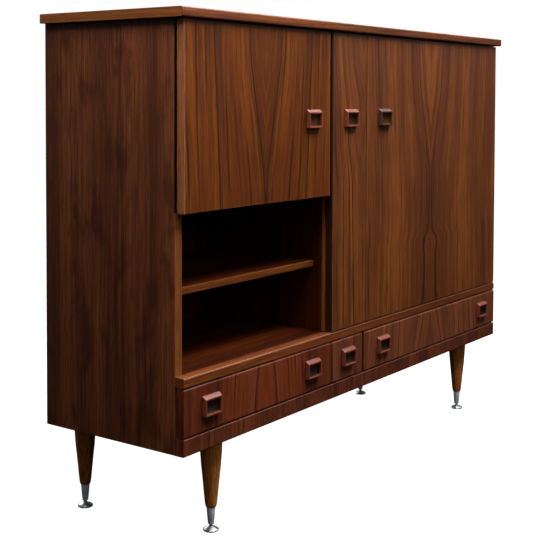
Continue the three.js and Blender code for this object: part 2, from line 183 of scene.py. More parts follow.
class Look:
    """One material, with short calls for putting its nodes together."""

    def __init__(self, name):
        self.material = bpy.data.materials.new(name)
        self.material.use_nodes = True
        tree = self.material.node_tree
        self.nodes, self.links = tree.nodes, tree.links
        self.nodes.clear()
        output = self.nodes.new("ShaderNodeOutputMaterial")
        self.shader = self.nodes.new("ShaderNodeBsdfPrincipled")
        self.links.new(self.shader.outputs[0], output.inputs[0])

    def put(self, socket, value):
        """Link a socket or set it; None leaves it as it is."""
        if isinstance(value, bpy.types.NodeSocket):
            self.links.new(value, socket)
        elif value is not None:
            socket.default_value = value

    def surface(self, **settings):
        """Set sockets on the shader: base_color=..., roughness=..., and so on."""
        for name, value in settings.items():
            socket = self.shader.inputs[name.replace("_", " ").title().replace("Ior", "IOR")]
            self.put(socket, value)

    def position(self):
        """X, Y and Z on the cabinet, which stay with a part as it moves."""
        place = self.nodes.new("ShaderNodeTexCoord").outputs["Object"]
        parts = self.nodes.new("ShaderNodeSeparateXYZ")
        self.put(parts.inputs[0], place)
        return parts.outputs[0], parts.outputs[1], parts.outputs[2]

    def math(self, operation, a, b=None, c=None):
        """One Math node."""
        node = self.nodes.new("ShaderNodeMath")
        node.operation = operation
        for socket, value in zip(node.inputs, (a, b, c)):
            self.put(socket, value)
        return node.outputs[0]

    def times(self, a, b):
        return self.math("MULTIPLY", a, b)

    def join(self, x, y, z):
        """A vector from three values."""
        node = self.nodes.new("ShaderNodeCombineXYZ")
        for socket, value in zip(node.inputs, (x, y, z)):
            self.put(socket, value)
        return node.outputs[0]

    def noise(self, vector, detail, roughness=0.5):
        """Noise at a place that is already scaled."""
        node = self.nodes.new("ShaderNodeTexNoise")
        self.put(node.inputs["Vector"], vector)
        node.inputs["Scale"].default_value = 1.0
        node.inputs["Detail"].default_value = detail
        node.inputs["Roughness"].default_value = roughness
        return node.outputs["Fac"]

    def span(self, value, low, high, to_low=0.0, to_high=1.0, smooth=True):
        """Value from low..high brought to to_low..to_high and held there."""
        node = self.nodes.new("ShaderNodeMapRange")
        node.interpolation_type = "SMOOTHSTEP" if smooth else "LINEAR"
        self.put(node.inputs["Value"], value)
        for name, number in (("From Min", low), ("From Max", high),
                             ("To Min", to_low), ("To Max", to_high)):
            self.put(node.inputs[name], number)
        return node.outputs["Result"]

    def ramp(self, value, stops):
        """Colour from a list of (position, (r, g, b))."""
        node = self.nodes.new("ShaderNodeValToRGB")
        self.put(node.inputs[0], value)
        elements = node.color_ramp.elements
        while len(elements) < len(stops):
            elements.new(0.5)
        for element, (at, colour) in zip(elements, stops):
            element.position = at
            element.color = (*colour, 1)
        return node.outputs["Color"]

    def mix(self, amount, a, b, blend="MIX"):
        node = self.nodes.new("ShaderNodeMix")
        node.data_type = "RGBA"
        node.blend_type = blend
        self.put(node.inputs[0], amount)
        for socket, value in ((node.inputs[6], a), (node.inputs[7], b)):
            self.put(socket, (*value, 1) if isinstance(value, tuple) else value)
        return node.outputs[2]

    def graph(self, value, points):
        """A smooth curve through points; both axes run from 0 to 1."""
        node = self.nodes.new("ShaderNodeFloatCurve")
        self.put(node.inputs["Value"], value)
        curve = node.mapping.curves[0]
        while len(curve.points) < len(points):
            curve.points.new(0.5, 0.5)
        for point, (x, y) in zip(curve.points, points):
            point.location = (x, y)
        node.mapping.update()
        return node.outputs[0]

    def bump(self, height, distance, strength):
        node = self.nodes.new("ShaderNodeBump")
        node.inputs["Distance"].default_value = distance
        node.inputs["Strength"].default_value = strength
        self.put(node.inputs["Height"], height)
        return node.outputs[0]


# -------------------- wood

# The figure of the wood is noise drawn out along the grain. Each layer gives how often it changes
# per metre across and along the grain, where in the noise it starts, its detail and roughness.
GRAIN = {
    "bands": (15.0, 0.7, 3.1, 2.0, 0.5),
    "rings": (95.0, 1.2, 11.7, 4.0, 0.65),
    "fibres": (430.0, 9.0, 17.3, 3.0, 0.6),
    "flecks": (310.0, 11.0, 71.0, 3.0, 0.7),
    "pores": (1000.0, 38.0, 5.3, 1.0, 0.5),
    "clouds": (15.0, 6.0, 41.0, 3.0, 0.6),
    "contours": (34.0, 0.55, 23.9, 2.0, 0.5),
    "breaks": (21.0, 1.8, 63.0, 2.0, 0.5),
}
DRIFT_ACROSS = 4.0              # changes per metre of the slow wander of the grain
DRIFT_ALONG = 1.4
BAND_SHARE = 0.35               # what each layer adds to the tone
RING_SHARE = 0.32
FIBRE_SHARE = 0.33
TONE_SWING = 0.10               # how far that sum strays from its middle
NOISE_MIDDLE = 0.5

# A layer fades in between two values of its noise. A shade multiplies the wood's darkest tone.
CLOUD_SPAN = (0.50, 0.66)
CLOUD_SHADE = 0.40
BREAK_SPAN = (0.42, 0.62)
LINE_SPAN = (0.003, 0.034)      # away from the middle of the contour noise
LINE_SHADE = 0.22
FLECK_SPAN = (0.51, 0.61)
FLECK_AMOUNT = 0.55
FLECK_SHADE = 0.55
PORE_SPAN = (0.57, 0.70)
PORE_AMOUNT = 0.4
PORE_SHADE = 0.4
PORE_DEPTH = 0.12 * MM
PORE_BUMP = 0.6


def scaled(colour, share):
    """A colour made darker or lighter."""
    return tuple(c * share for c in colour)


def wood_tones(look, u, w, v, seed, tones, streaks=0.75, contrast=1.0, wander=0.004, blotch=0.0):
    """Wood with its grain along v: colour, a pore map for bump, and tone.

    u and w run across the grain and v along it. tones are (dark, middle, light).
    """
    drift = look.noise(look.join(
        look.times(u, DRIFT_ACROSS), look.times(w, DRIFT_ACROSS),
        look.math("MULTIPLY_ADD", v, DRIFT_ALONG, seed)), 2.0)
    across = look.math("MULTIPLY_ADD", look.math("SUBTRACT", drift, NOISE_MIDDLE), wander * 2, u)

    def layer(name):
        rate, stretch, shift, detail, roughness = GRAIN[name]
        return look.noise(look.join(
            look.math("MULTIPLY_ADD", across, rate, seed + shift),
            look.times(w, rate),
            look.math("MULTIPLY_ADD", v, stretch, seed)), detail, roughness)

    tone = look.math("MULTIPLY_ADD", layer("bands"), BAND_SHARE,
                     look.times(layer("rings"), RING_SHARE))
    tone = look.math("MULTIPLY_ADD", layer("fibres"), FIBRE_SHARE, tone)
    swing = TONE_SWING / contrast
    tone = look.span(tone, NOISE_MIDDLE - swing, NOISE_MIDDLE + swing, smooth=False)
    dark, middle, light = tones
    colour = look.ramp(tone, [(0.0, dark), (0.5, middle), (1.0, light)])
    if blotch:
        cloud = look.span(layer("clouds"), *CLOUD_SPAN, 0.0, blotch)
        colour = look.mix(cloud, colour, scaled(dark, CLOUD_SHADE))
    contour = look.math("ABSOLUTE", look.math("SUBTRACT", layer("contours"), NOISE_MIDDLE))
    line = look.times(look.span(contour, *LINE_SPAN, streaks, 0.0),
                      look.span(layer("breaks"), *BREAK_SPAN))
    colour = look.mix(line, colour, scaled(dark, LINE_SHADE))
    fleck = look.span(layer("flecks"), *FLECK_SPAN, 0.0, FLECK_AMOUNT)
    colour = look.mix(fleck, colour, scaled(dark, FLECK_SHADE))
    pore = look.span(layer("pores"), *PORE_SPAN)
    colour = look.mix(look.times(pore, PORE_AMOUNT), colour, scaled(dark, PORE_SHADE))
    return colour, pore, tone


def finish_wood(look, colour, pore, tone, rough=(0.46, 0.38), shine=0.5):
    """Oiled wood: the pores are sunk, and the darker grain is a little rougher."""
    look.surface(
        base_color=colour,
        roughness=look.span(tone, 0.0, 1.0, *rough, smooth=False),
        specular_ior_level=shine,
        normal=look.bump(look.math("SUBTRACT", 1.0, pore), PORE_DEPTH, PORE_BUMP),
    )
    return look.material


# Tones of each wood: dark, middle and light grain.
TEAK = ((0.068, 0.0145, 0.0025), (0.162, 0.0390, 0.0065), (0.290, 0.0850, 0.0150))
TEAK_GOLD = ((0.066, 0.0135, 0.0007), (0.150, 0.0330, 0.0015), (0.260, 0.0700, 0.0040))
TEAK_RED = ((0.075, 0.0120, 0.0020), (0.165, 0.0300, 0.0055), (0.285, 0.0590, 0.0130))
TEAK_SIDE = ((0.082, 0.0210, 0.0066), (0.145, 0.0385, 0.0125), (0.235, 0.0680, 0.0225))
TEAK_INSIDE = ((0.030, 0.0050, 0.0007), (0.062, 0.0105, 0.0015), (0.110, 0.0220, 0.0035))
TEAK_LIPPING = ((0.150, 0.0400, 0.0075), (0.245, 0.0720, 0.0140), (0.340, 0.1120, 0.0260))
# The left door's lipping: its own wood, made lighter and pinker as a painted highlight on its
# edges.
DOOR_LIPPING_PAINTED_LIGHT = ((0.165, 0.0480, 0.0160), (0.265, 0.0860, 0.0300), (0.360, 0.1300, 0.0500))
# Painted shade: near-black edges of the narrow door, standing for the shadow in the gaps beside it.
PAINTED_SHADE_LIPPING = ((0.020, 0.0070, 0.0030), (0.030, 0.0110, 0.0045), (0.045, 0.0160, 0.0065))
# The front edge of the uprights: real lipping, made much lighter as painted light.
TEAK_EDGE_PAINTED_LIGHT = ((0.260, 0.0700, 0.0120), (0.420, 0.1200, 0.0210), (0.560, 0.1800, 0.0380))
TEAK_APRON = ((0.055, 0.0105, 0.0030), (0.135, 0.0290, 0.0090), (0.225, 0.0540, 0.0180))
TEAK_RAIL = ((0.085, 0.0180, 0.0024), (0.155, 0.0350, 0.0050), (0.255, 0.0680, 0.0120))
TEAK_BROWN = ((0.085, 0.0200, 0.0060), (0.170, 0.0440, 0.0150), (0.290, 0.0850, 0.0320))
TEAK_HANDLE = ((0.140, 0.0240, 0.0110), (0.215, 0.0390, 0.0180), (0.300, 0.0640, 0.0290))
TEAK_HANDLE_DARK = ((0.050, 0.0130, 0.0080), (0.085, 0.0220, 0.0130), (0.135, 0.0390, 0.0230))
# The dark trays inside the handles: painted shade in their hollows.
DOOR_CUP_PAINTED_SHADE = ((0.034, 0.0120, 0.0018), (0.075, 0.0300, 0.0050), (0.125, 0.0540, 0.0110))
DRAWER_CUP_PAINTED_SHADE = ((0.014, 0.0100, 0.0044), (0.028, 0.0210, 0.0100), (0.048, 0.0370, 0.0190))
# The legs: their own teak, made lighter as painted light standing for light thrown up from the
# floor.
TEAK_LEG_PAINTED_BOUNCE = ((0.300, 0.0750, 0.0120), (0.600, 0.1700, 0.0270), (0.780, 0.2700, 0.0520))
BEECH = ((0.330, 0.190, 0.095), (0.440, 0.270, 0.140), (0.530, 0.345, 0.190))
PLY = ((0.265, 0.1350, 0.0580), (0.365, 0.1950, 0.0880), (0.455, 0.2620, 0.1280))

# Single colours.
FLARE = (0.250, 0.0560, 0.0210)         # red wood beside the V of a drawer
BEECH_END = (0.200, 0.105, 0.045)       # end grain of the drawer boxes
# Painted shade: the shadow in the gap between a side and a closed door.
SHUT_LINE_SHADE = (0.012, 0.0045, 0.0020)

AXES = {"X": 0, "Y": 1, "Z": 2}


def solid_wood(name, tones, grain, seed, **settings):
    """Wood with straight grain along one axis of the cabinet."""
    look = Look(name)
    place = look.position()
    v = place[AXES[grain]]
    u, w = [place[i] for i in range(3) if i != AXES[grain]]
    return finish_wood(look, *wood_tones(look, u, w, v, seed, tones, **settings))


# Matched veneer. Distances marked "from the arm" are across the grain, from an arm of the V.
BEND_SPAN = (50 * MM, 220 * MM)         # from the seam, where the V's bend of the grain fades
BEND_LEFT = 0.3                         # what is left of it further out
ARM_SPAN = (0.7 * MM, 4 * MM)           # half width of an arm's dark line, solid and faded out
ARM_REACH = (80 * MM, 150 * MM)         # from the seam, where the arms end
ARM_SHADE = 0.3
NEST_PITCH = 38 * MM                    # between the thin lines nested outside the V
NEST_SPAN = (1 * MM, 4.8 * MM)
NEST_FROM = (6 * MM, 16 * MM)           # from the arm
NEST_BEND = (9.0, 1.6)                  # changes per metre across and along the grain
NEST_BREAKS = (11.0, 3.0)
NEST_BREAK_SPAN = (0.40, 0.60)
NEST_SHADE = 0.28
FLARE_IN = (0.0, 4 * MM)                # from the arm
FLARE_OUT = (16 * MM, 34 * MM)
INSIDE_SPAN = (-12 * MM, 2 * MM)        # from the arm, towards the seam
INSIDE_AMOUNT = 0.12
INSIDE_SHADE = 1.1
THROUGH = 0.2                           # how far the figure changes from the face to the back
KNOT_HALF_W = 7 * MM
KNOT_HALF_H = 11 * MM
KNOT_RAGGED = (90.0, 60.0)              # changes per metre of its ragged edge
KNOT_RAGGEDNESS = 0.9
KNOT_SPAN = (0.5, 1.25)                 # in half widths from its middle
KNOT_AMOUNT = 0.85
KNOT_SHADE = 0.3


def nested_lines(look, x, z, from_seam, across, seed):
    """Thin broken lines that follow the V outside its arms."""
    bend = look.noise(look.join(look.times(from_seam, NEST_BEND[0]), 0.0,
                                look.math("MULTIPLY_ADD", z, NEST_BEND[1], seed + 5.0)), 1.0)
    bent = look.math("MULTIPLY_ADD", bend, NEST_PITCH, across)
    lines = look.math("PINGPONG", bent, NEST_PITCH / 2)
    lines = look.math("SUBTRACT", 1.0, look.span(lines, *NEST_SPAN))
    breaks = look.noise(look.join(look.times(x, NEST_BREAKS[0]), seed,
                                  look.times(z, NEST_BREAKS[1])), 1.0)
    lines = look.times(lines, look.span(breaks, *NEST_BREAK_SPAN))
    return look.times(lines, look.span(across, *NEST_FROM))


def knot_mark(look, x, z, knot):
    """How much of the knot covers each place: a ragged oval round the knot's (x, z)."""
    off = look.math("DIVIDE", look.math("SUBTRACT", x, knot[0]), KNOT_HALF_W)
    rise = look.math("DIVIDE", look.math("SUBTRACT", z, knot[1]), KNOT_HALF_H)
    ragged = look.noise(look.join(look.times(x, KNOT_RAGGED[0]), 0.0,
                                  look.times(z, KNOT_RAGGED[1])), 3.0, 0.6)
    square = look.math("MULTIPLY_ADD", off, off, look.times(rise, rise))
    away = look.math("MULTIPLY_ADD", look.math("SUBTRACT", ragged, NOISE_MIDDLE), KNOT_RAGGEDNESS,
                     look.math("SQRT", square))
    return look.span(away, *KNOT_SPAN, KNOT_AMOUNT, 0.0)


def matched_veneer(name, tones, seed, seam, spread, edges=None, knot=None, shine=0.5, flare=0.0,
                   nested=0.85, **settings):
    """A book-matched front: the grain is mirrored about the seam and closes into a V.

    spread lists (height, half width of the V) from the bottom upwards. edges is (left, right,
    width, tones) for a front that is lipped down both sides.
    """
    look = Look(name)
    x, y, z = look.position()
    low, high = spread[0][0], spread[-1][0]
    widest = max(half for _, half in spread)
    height = look.span(z, low, high, smooth=False)
    half = look.graph(height, [((at - low) / (high - low), w / widest) for at, w in spread])
    from_seam = look.math("ABSOLUTE", look.math("SUBTRACT", x, seam))
    hold = look.span(from_seam, *BEND_SPAN, 1.0, BEND_LEFT)
    across = look.math("MULTIPLY_ADD", look.times(half, hold), -widest, from_seam)
    depth = look.times(y, THROUGH)
    colour, pore, tone = wood_tones(look, across, depth, z, seed, tones, **settings)
    dark = tones[0]
    arm = look.math("SUBTRACT", 1.0, look.span(look.math("ABSOLUTE", across), *ARM_SPAN))
    near = look.math("SUBTRACT", 1.0, look.span(from_seam, *ARM_REACH))
    colour = look.mix(look.times(arm, near), colour, scaled(dark, ARM_SHADE))
    lines = nested_lines(look, x, z, from_seam, across, seed)
    colour = look.mix(look.times(lines, nested), colour, scaled(dark, NEST_SHADE))
    if flare:
        beside = look.times(look.span(across, *FLARE_IN),
                            look.math("SUBTRACT", 1.0, look.span(across, *FLARE_OUT)))
        colour = look.mix(look.times(beside, flare), colour, FLARE)
    inside = look.math("SUBTRACT", 1.0, look.span(across, *INSIDE_SPAN))
    colour = look.mix(look.times(inside, INSIDE_AMOUNT), colour, scaled(dark, INSIDE_SHADE))
    if knot:
        colour = look.mix(knot_mark(look, x, z, knot), colour, scaled(dark, KNOT_SHADE))
    if edges:
        left, right, width, lip_tones = edges
        lip_colour, _, _ = wood_tones(look, x, y, z, seed + 50, lip_tones, streaks=0.2)
        lip = look.math("MAXIMUM", look.math("LESS_THAN", x, left + width),
                        look.math("GREATER_THAN", x, right - width))
        colour = look.mix(lip, colour, lip_colour)
    return finish_wood(look, colour, pore, tone, shine=shine)


# The painted shadow line in the gap at a closed door's edge, on the front of a side:
SHUT_SHADE_DEPTH = 2.2 * MM           # back from the front face


def edged_board(name, tones, grain, seed, edge_y, edge_tones=TEAK_LIPPING, shine=0.12,
                paler=None, shut_shade=None, **settings):
    """A veneered board with a solid lipping on its front edge.

    paler is (y far back, y in front, gain) for a board that is lighter towards its front.
    shut_shade is (y of the front, height, left, right) for painted shade: the shadow in the gap
    round the edge of a closed door, on the front corner above the height and outside the left and
    right limits.
    closed door: above the height, and outside the left and right limits.
    """
    look = Look(name)
    place = look.position()
    v = place[AXES[grain]]
    u, w = [place[i] for i in range(3) if i != AXES[grain]]
    colour, pore, tone = wood_tones(look, u, w, v, seed, tones, **settings)
    if paler:
        back, front, gain = paler
        colour = look.mix(look.span(place[1], back, front), colour, (gain, gain, gain), "MULTIPLY")
    lip_colour, _, _ = wood_tones(look, u, w, v, seed + 31, edge_tones, streaks=0.25)
    lip = look.math("LESS_THAN", place[1], edge_y)
    colour = look.mix(lip, colour, lip_colour)
    # painted shade: the shadow in the gap round the edge of a closed door
    if shut_shade:
        front, foot, left, right = shut_shade
        line = look.math("MAXIMUM", look.math("LESS_THAN", place[0], left),
                         look.math("GREATER_THAN", place[0], right))
        line = look.times(line, look.math("LESS_THAN", place[1], front + SHUT_SHADE_DEPTH))
        line = look.times(line, look.math("GREATER_THAN", place[2], foot))
        colour = look.mix(line, colour, SHUT_LINE_SHADE)
    return finish_wood(look, colour, pore, tone, shine=shine)


def from_nearer(look, at, low, high):
    """How far inside the nearer of two limits a place is."""
    return look.math("MINIMUM", look.math("SUBTRACT", at, low), look.math("SUBTRACT", high, at))


TOP_DARKER = 0.62               # the top against the doors
TOP_LIP = 6 * MM
MITRE_HALF = 0.45 * MM
SEAM_HALF = 0.25 * MM
SEAM_AMOUNT = 0.8
SEAM_SHADE = 0.4


def top_wood(name, seed):
    """The top panel: veneer along X, lipped at the front and both ends, mitred at the corners."""
    low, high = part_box("top_panel")
    look = Look(name)
    x, y, z = look.position()
    tones = tuple(scaled(tone, TOP_DARKER) for tone in TEAK)
    colour, pore, tone = wood_tones(look, y, z, x, seed, tones, streaks=0.6)
    front, _, _ = wood_tones(look, y, z, x, seed + 13, TEAK_RAIL, streaks=0.6, contrast=1.3)
    end, _, _ = wood_tones(look, x, z, y, seed + 29, TEAK_LIPPING, streaks=0.45)
    from_end = from_nearer(look, x, low.x, high.x)
    from_front = look.math("SUBTRACT", y, low.y)
    nearer_end = look.math("LESS_THAN", from_end, from_front)
    border = look.math("MINIMUM", from_end, from_front)
    in_border = look.math("LESS_THAN", border, TOP_LIP)
    colour = look.mix(in_border, colour, look.mix(nearer_end, front, end))
    to_mitre = look.math("ABSOLUTE", look.math("SUBTRACT", from_end, from_front))
    mitre = look.times(look.math("LESS_THAN", to_mitre, MITRE_HALF), in_border)
    to_seam = look.math("ABSOLUTE", look.math("SUBTRACT", border, TOP_LIP))
    seam = look.math("MAXIMUM", mitre, look.math("LESS_THAN", to_seam, SEAM_HALF))
    colour = look.mix(look.times(seam, SEAM_AMOUNT), colour, scaled(TEAK[0], SEAM_SHADE))
    return finish_wood(look, colour, pore, tone)


BOX_SIDE = 12 * MM              # thickness of the drawer boxes
DOVETAIL_PITCH = 22 * MM
DOVETAIL_SLOPE = 0.25
TAIL_SHARE = 0.19               # half of a tail's narrow end, in pitches
JOINT_HALF = 0.3 * MM
JOINT_SKIN = 1 * MM             # the joint shows on the outer face only
END_GRAIN_AMOUNT = 0.55
JOINT_AMOUNT = 0.7
JOINT_SHADE = 0.3


def box_wood(node, seed):
    """Beech, grained along each side of the drawer box, with dovetails at its front corners."""
    low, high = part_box(node)
    look = Look(f"{node}_wood")
    x, y, z = look.position()
    along_x = wood_tones(look, y, z, x, seed, BEECH, streaks=0.1, contrast=0.7)
    along_y = wood_tones(look, x, z, y, seed + 9, BEECH, streaks=0.1, contrast=0.7)
    from_side = from_nearer(look, x, low.x, high.x)
    from_front = look.math("SUBTRACT", y, low.y)
    colour = look.mix(look.math("LESS_THAN", from_side, BOX_SIDE), along_x[0], along_y[0])
    outer = look.math("LESS_THAN", from_side, JOINT_SKIN)
    wave = look.math("PINGPONG", look.math("SUBTRACT", z, low.z), DOVETAIL_PITCH / 2)
    tail = look.math("MULTIPLY_ADD", from_front, DOVETAIL_SLOPE, DOVETAIL_PITCH * TAIL_SHARE)
    gap = look.math("SUBTRACT", wave, tail)
    end_grain = look.times(look.math("GREATER_THAN", gap, 0.0),
                           look.math("LESS_THAN", from_front, BOX_SIDE))
    end_grain = look.times(end_grain, outer)
    joint = look.math("MAXIMUM", look.math("LESS_THAN", look.math("ABSOLUTE", gap), JOINT_HALF),
                      look.math("COMPARE", from_front, BOX_SIDE, JOINT_HALF))
    joint = look.times(joint, look.math("LESS_THAN", from_front, BOX_SIDE + JOINT_HALF))
    joint = look.times(joint, outer)
    colour = look.mix(look.times(end_grain, END_GRAIN_AMOUNT), colour, BEECH_END)
    colour = look.mix(look.times(joint, JOINT_AMOUNT), colour,
                      scaled(BEECH[0], JOINT_SHADE))
    return finish_wood(look, colour, along_x[1], along_x[2], rough=(0.62, 0.52), shine=0.3)


# -------------------- metals and plastic

DRAWN_LINES = (40.0, 40.0, 900.0)   # changes per metre along X, Y and Z
SCRATCH_SPAN = (0.45, 0.7)          # noise values between which a scratch or a spot fades in
SPOT_RATES = (160.0, 160.0, 160.0)
SPOT_SPAN = (0.5, 0.75)
SPOT_AMOUNT = 0.25                  # on the cleanest metal
DULL_SHADE = 0.62
DULL_ROUGHER = 0.14
ROUGH_SPAN = (0.3, 0.7)
METAL_BUMP = (0.03 * MM, 0.3)       # depth and strength
PLASTIC_RATES = (900.0, 900.0, 900.0)
PLASTIC_SPAN = (0.4, 0.65)
PLASTIC_SHADE = 0.8
PLASTIC_ROUGH = (0.38, 0.5)
PLASTIC_BUMP = (0.04 * MM, 0.4)


def even_noise(look, rates, detail, roughness=0.5):
    """Noise with its own rate along each axis."""
    place = [look.times(at, rate) for at, rate in zip(look.position(), rates)]
    return look.noise(look.join(*place), detail, roughness)


def metal(name, colour, rough, scratch, spots, metallic=1.0):
    """Worn metal with fine drawn lines and faint spots."""
    look = Look(name)
    lines = even_noise(look, DRAWN_LINES, 3.0, 0.6)
    cloud = even_noise(look, SPOT_RATES, 3.0, 0.6)
    dull = scaled(colour, DULL_SHADE)
    shade = look.mix(look.span(cloud, *SPOT_SPAN, 0.0, SPOT_AMOUNT + spots), colour, dull)
    shade = look.mix(look.span(lines, *SCRATCH_SPAN, 0.0, scratch), shade, dull)
    look.surface(
        base_color=shade,
        metallic=metallic,
        roughness=look.span(lines, *ROUGH_SPAN, rough, rough + DULL_ROUGHER, smooth=False),
        normal=look.bump(lines, *METAL_BUMP),
    )
    return look.material


BRASS = metal("aged_brass", (0.30, 0.20, 0.09), 0.36, 0.25, 0.35)
STEEL = metal("plated_steel", (0.42, 0.43, 0.44), 0.30, 0.3, 0.1)
FERRULE = metal("grey_ferrule", (0.68, 0.72, 0.78), 0.38, 0.25, 0.05, metallic=0.2)
CHROME = metal("chrome", (0.50, 0.53, 0.57), 0.32, 0.10, 0.0)


def plastic(name, colour):
    """Moulded plastic with a faint grain."""
    look = Look(name)
    grain = even_noise(look, PLASTIC_RATES, 2.0)
    shade = look.mix(look.span(grain, *PLASTIC_SPAN), colour, scaled(colour, PLASTIC_SHADE))
    look.surface(
        base_color=shade,
        roughness=look.span(grain, *ROUGH_SPAN, *PLASTIC_ROUGH, smooth=False),
        normal=look.bump(grain, *PLASTIC_BUMP),
    )
    return look.material


CATCH_CASE = plastic("catch_plastic", (0.33, 0.20, 0.11))

# -------------------- dressing the CAD nodes

WELD_WITHIN = 0.02 * MM
EDGE_ANGLE = math.radians(32.0)     # edges sharper than this are softened
FINE_EDGE = 0.5 * MM
HANDLE_EDGE = 1.9 * MM


def dress(node, material, bevel=0.8 * MM, segments=2):
    """Give a CAD node its material and softened edges."""
    piece = NODES[node]
    piece.data.materials.clear()
    piece.data.materials.append(material)
    piece.data.polygons.foreach_set("use_smooth", [True] * len(piece.data.polygons))
    weld = piece.modifiers.new("weld", "WELD")
    weld.merge_threshold = WELD_WITHIN
    if bevel:
        soften = piece.modifiers.new("bevel", "BEVEL")
        soften.width = bevel
        soften.segments = segments
        soften.limit_method = "ANGLE"
        soften.angle_limit = EDGE_ANGLE
        soften.use_clamp_overlap = True
    shade = piece.modifiers.new("normals", "WEIGHTED_NORMAL")
    shade.keep_sharp = False
    shade.weight = 50


BAYS = ("left", "narrow", "wide")
CORNERS = ("front_left", "front_right", "rear_left", "rear_right")

# The x of the seam in each front, and the V about it: (height, half width) from the bottom up.
DOOR_SEAM = {"left": -0.498, "wide": 0.341, "narrow": -0.05}
DOOR_SPREAD = {
    "left": [(0.761, 0.002), (0.810, 0.006), (0.895, 0.019), (0.980, 0.035), (1.060, 0.052),
             (1.130, 0.063), (1.185, 0.066)],
    "narrow": [(0.402, 0.045), (0.695, 0.052), (0.800, 0.056), (0.890, 0.078), (0.995, 0.090),
               (1.095, 0.118), (1.185, 0.134)],
    "wide": [(0.402, 0.042), (0.535, 0.034), (0.588, 0.040), (0.610, 0.018), (0.650, 0.009),
             (0.786, 0.009), (0.840, 0.020), (0.955, 0.045), (1.055, 0.069), (1.185, 0.084)],
}
DOOR_LOOK = {                   # tones, tones of the lipping and its width, and settings
    # left door: real lipping that carries a painted highlight
    "left": (TEAK_GOLD, DOOR_LIPPING_PAINTED_LIGHT, 4.5 * MM, {"shine": 0.35}),
    # narrow door: its edges painted near black, as the shadow in the gaps beside it
    "narrow": (TEAK, PAINTED_SHADE_LIPPING, 1.2 * MM, {}),
    "wide": (TEAK, TEAK_LIPPING, 4.5 * MM, {"knot": (0.306, 0.590), "nested": 0.5}),
}
DRAWER_SEAM = {"left": -0.494, "wide": 0.346, "narrow": -0.05}
DRAWER_SPREAD = {
    "left": [(0.266, 0.046), (0.320, 0.040), (0.374, 0.032)],
    "narrow": [(0.266, 0.040), (0.320, 0.042), (0.374, 0.044)],
    "wide": [(0.266, 0.076), (0.320, 0.058), (0.374, 0.042)],
}
DRAWER_TONES = {"left": TEAK_RED, "narrow": TEAK_BROWN, "wide": TEAK_BROWN}
LIP = 1.2 * MM                  # lipping on the front of the carcass boards
# the uprights' front edge, and a band of painted light on their faces just behind it
UPRIGHT_LIP_AND_LIGHT = 10 * MM
SHELF_LIP = 3 * MM
BACK_LIP = 1.5 * MM
SHUT_SHADE_WIDTH = 7 * MM             # how far in from the edge of a door its painted shadow line reaches
SIDE_PALER = (0.05, -0.18, 1.35)        # y far back, y in front, and the gain there


def dress_cabinet():
    """The carcass: top, sides, partitions, boards, shelves, backs and aprons."""
    dress("top_panel", top_wood("top_veneer", 4.0), 0.6 * MM)
    carcass_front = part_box("side_left")[0].y
    edge = carcass_front + LIP
    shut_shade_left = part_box("door_left")[0].x + SHUT_SHADE_WIDTH
    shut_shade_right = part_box("door_wide")[1].x - SHUT_SHADE_WIDTH
    # The sides carry painted shade in the gap beside each closed door.
    for end, door, seed in (("left", "door_left", 17.0), ("right", "door_wide", 19.0)):
        dress(f"side_{end}", edged_board(
            f"side_veneer_{end}", TEAK_SIDE, "Z", seed, edge, shine=0.4, paler=SIDE_PALER,
            shut_shade=(carcass_front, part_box(door)[0].z, shut_shade_left, shut_shade_right), blotch=0.65,
            streaks=0.5, wander=0.008))
    # The uprights' front edges: real lipping, with painted light on it and on the faces behind.
    inside_upright = edged_board("inside_upright", TEAK_INSIDE, "Z", 23.0,
                                 carcass_front + UPRIGHT_LIP_AND_LIGHT, TEAK_EDGE_PAINTED_LIGHT, shine=0.25, streaks=0.3)
    for node in ("upper_partition_left", "upper_partition_right", "drawer_partition_left",
                 "drawer_partition_right", "left_door_stop"):
        dress(node, inside_upright)
    inside_level = edged_board("inside_level", TEAK_INSIDE, "X", 29.0, edge, streaks=0.45,
                               contrast=1.3)
    for node in ("base_panel", "waist_shelf", "cupboard_floor"):
        dress(node, inside_level)
    shelf_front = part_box("open_shelf")[0].y
    dress("open_shelf", edged_board("open_shelf_wood", TEAK_INSIDE, "X", 37.0,
                                    shelf_front + SHELF_LIP, streaks=0.4), FINE_EDGE)
    inner_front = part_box("cupboard_shelf_wide")[0].y
    inner_shelf = edged_board("inner_shelf", TEAK_INSIDE, "X", 41.0, inner_front + SHELF_LIP)
    for bay in BAYS:
        dress(f"cupboard_shelf_{bay}", inner_shelf)
    dress("waist_rail", solid_wood("rail_wood", TEAK_RAIL, "X", 43.0, streaks=0.4), FINE_EDGE)
    inner_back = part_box("back_left")[0].y
    ply = edged_board("back_plywood", PLY, "Z", 47.0, inner_back + BACK_LIP, TEAK_INSIDE,
                      streaks=0.25, wander=0.02)
    for node in ("back_left", "back_right"):
        dress(node, ply, 0.4 * MM)
    apron = solid_wood("apron_veneer", TEAK_APRON, "Z", 53.0, streaks=0.7, blotch=0.5)
    for node in ("apron_left", "apron_right"):
        dress(node, apron, FINE_EDGE)


